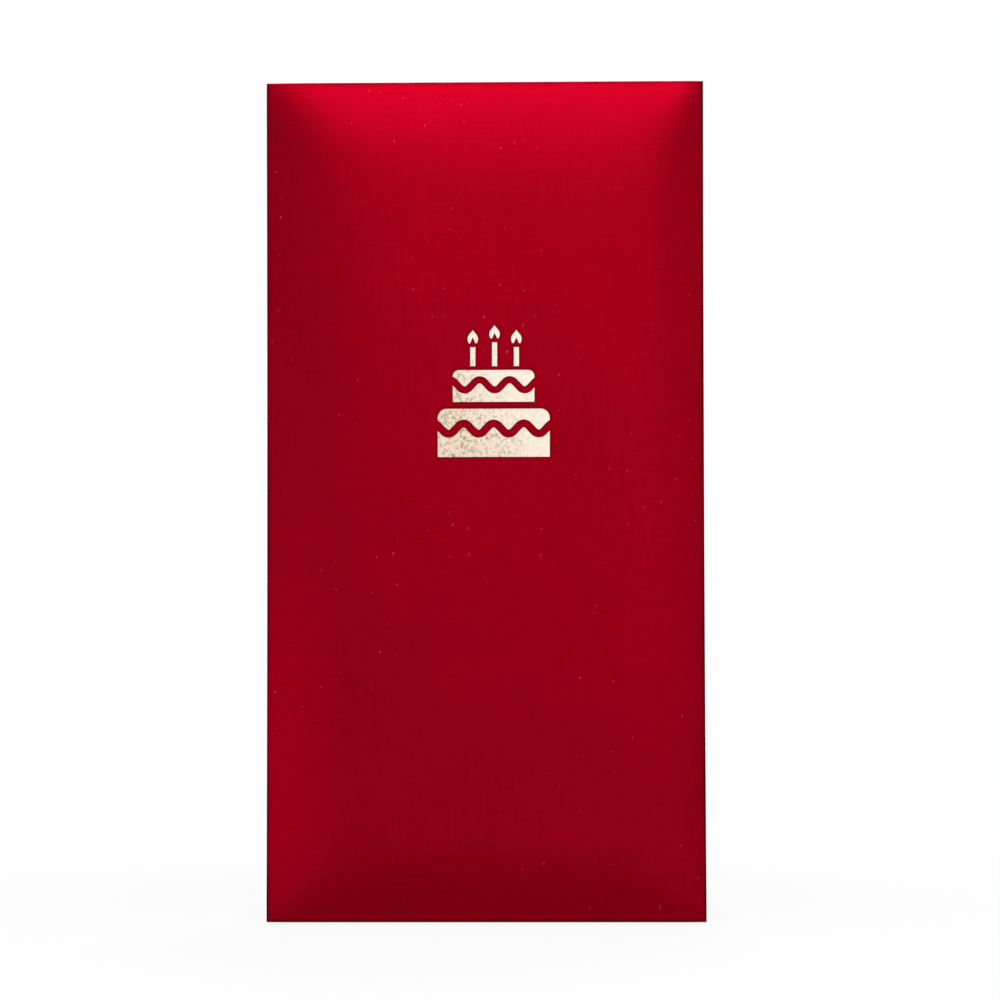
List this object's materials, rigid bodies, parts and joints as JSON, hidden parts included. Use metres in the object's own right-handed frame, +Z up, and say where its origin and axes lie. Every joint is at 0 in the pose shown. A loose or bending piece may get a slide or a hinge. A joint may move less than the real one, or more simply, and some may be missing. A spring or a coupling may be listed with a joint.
{
  "type": "padded satin money envelope",
  "caption": "Upright red satin gift envelope with a cushioned front, a foil birthday cake, a magnetic back flap and a pocket whose folded side gussets spread as the flap opens.",
  "frame": {"origin": "under the middle of the envelope's outer box, on the surface that it stands on", "axes": "+X to the viewer's right across the padded front, +Y from the front to the flap at the back, +Z up the height"},
  "size_m": [0.09, 0.0102, 0.1725],
  "materials": {
    "red_satin": "satin",
    "champagne_foil": "polished",
    "red_paper": "matte",
    "grey_board": "matte",
    "white_sponge": "matte",
    "magnet": "satin"
  },
  "bodies": {
    "front_panel": {"front_satin": "red_satin", "front_padding": "white_sponge", "front_board": "grey_board", "front_lining": "red_paper", "foil_lower_tier": "champagne_foil", "foil_lower_icing": "champagne_foil", "foil_upper_tier": "champagne_foil", "foil_upper_icing": "champagne_foil", "foil_candles": "champagne_foil", "foil_flames": "champagne_foil", "top_fold": "red_satin", "bottom_fold": "red_satin", "bottom_satin": "red_satin", "bottom_lining": "red_paper"},
    "top_spine": {"spine_satin": "red_satin", "spine_lining": "red_paper", "flap_fold": "red_satin"},
    "flap": {"flap_satin": "red_satin", "flap_board": "grey_board", "flap_magnet": "magnet", "flap_lining": "red_paper"},
    "back_panel": {"back_satin": "red_satin", "back_board": "grey_board", "back_magnet": "magnet", "back_lining": "red_paper"},
    "left_front_leaf": {"left_gusset_front_leaf": "red_paper"},
    "left_back_leaf": {"left_gusset_back_leaf": "red_paper"},
    "right_front_leaf": {"right_gusset_front_leaf": "red_paper"},
    "right_back_leaf": {"right_gusset_back_leaf": "red_paper"}
  },
  "joints": [
    {"name": "top_crease", "type": "hinge", "parent": "front_panel", "child": "top_spine", "pos_m": [0, 0.00019, 0.17225], "axis": [1, 0, 0], "range_deg": [0, 90]},
    {"name": "flap_crease", "type": "hinge", "parent": "top_spine", "child": "flap", "pos_m": [0, 0.00379, 0.17225], "axis": [1, 0, 0], "range_deg": [0, 90]},
    {"name": "pocket_crease", "type": "hinge", "parent": "front_panel", "child": "back_panel", "pos_m": [0, 0.00299, 0.00025], "axis": [-1, 0, 0], "range_deg": [0, 6]},
    {"name": "left_front_gusset", "type": "hinge", "parent": "front_panel", "child": "left_front_leaf", "pos_m": [-0.043, 0.00034, 0.0798], "axis": [0, 0, 1], "range_deg": [0, 31.95]},
    {"name": "left_back_gusset", "type": "hinge", "parent": "back_panel", "child": "left_back_leaf", "pos_m": [-0.043, 0.00114, 0.0798], "axis": [0, 0, -1], "range_deg": [0, 31.95]},
    {"name": "right_front_gusset", "type": "hinge", "parent": "front_panel", "child": "right_front_leaf", "pos_m": [0.043, 0.00034, 0.0798], "axis": [0, 0, -1], "range_deg": [0, 31.95]},
    {"name": "right_back_gusset", "type": "hinge", "parent": "back_panel", "child": "right_back_leaf", "pos_m": [0.043, 0.00114, 0.0798], "axis": [0, 0, 1], "range_deg": [0, 31.95]}
  ],
  "couplings": [
    {"joint": "pocket_crease", "follows": "flap_crease", "ratio": 0.066666},
    {"joint": "left_front_gusset", "follows": "flap_crease", "ratio": 0.355},
    {"joint": "left_back_gusset", "follows": "flap_crease", "ratio": 0.355},
    {"joint": "right_front_gusset", "follows": "flap_crease", "ratio": 0.355},
    {"joint": "right_back_gusset", "follows": "flap_crease", "ratio": 0.355}
  ]
}
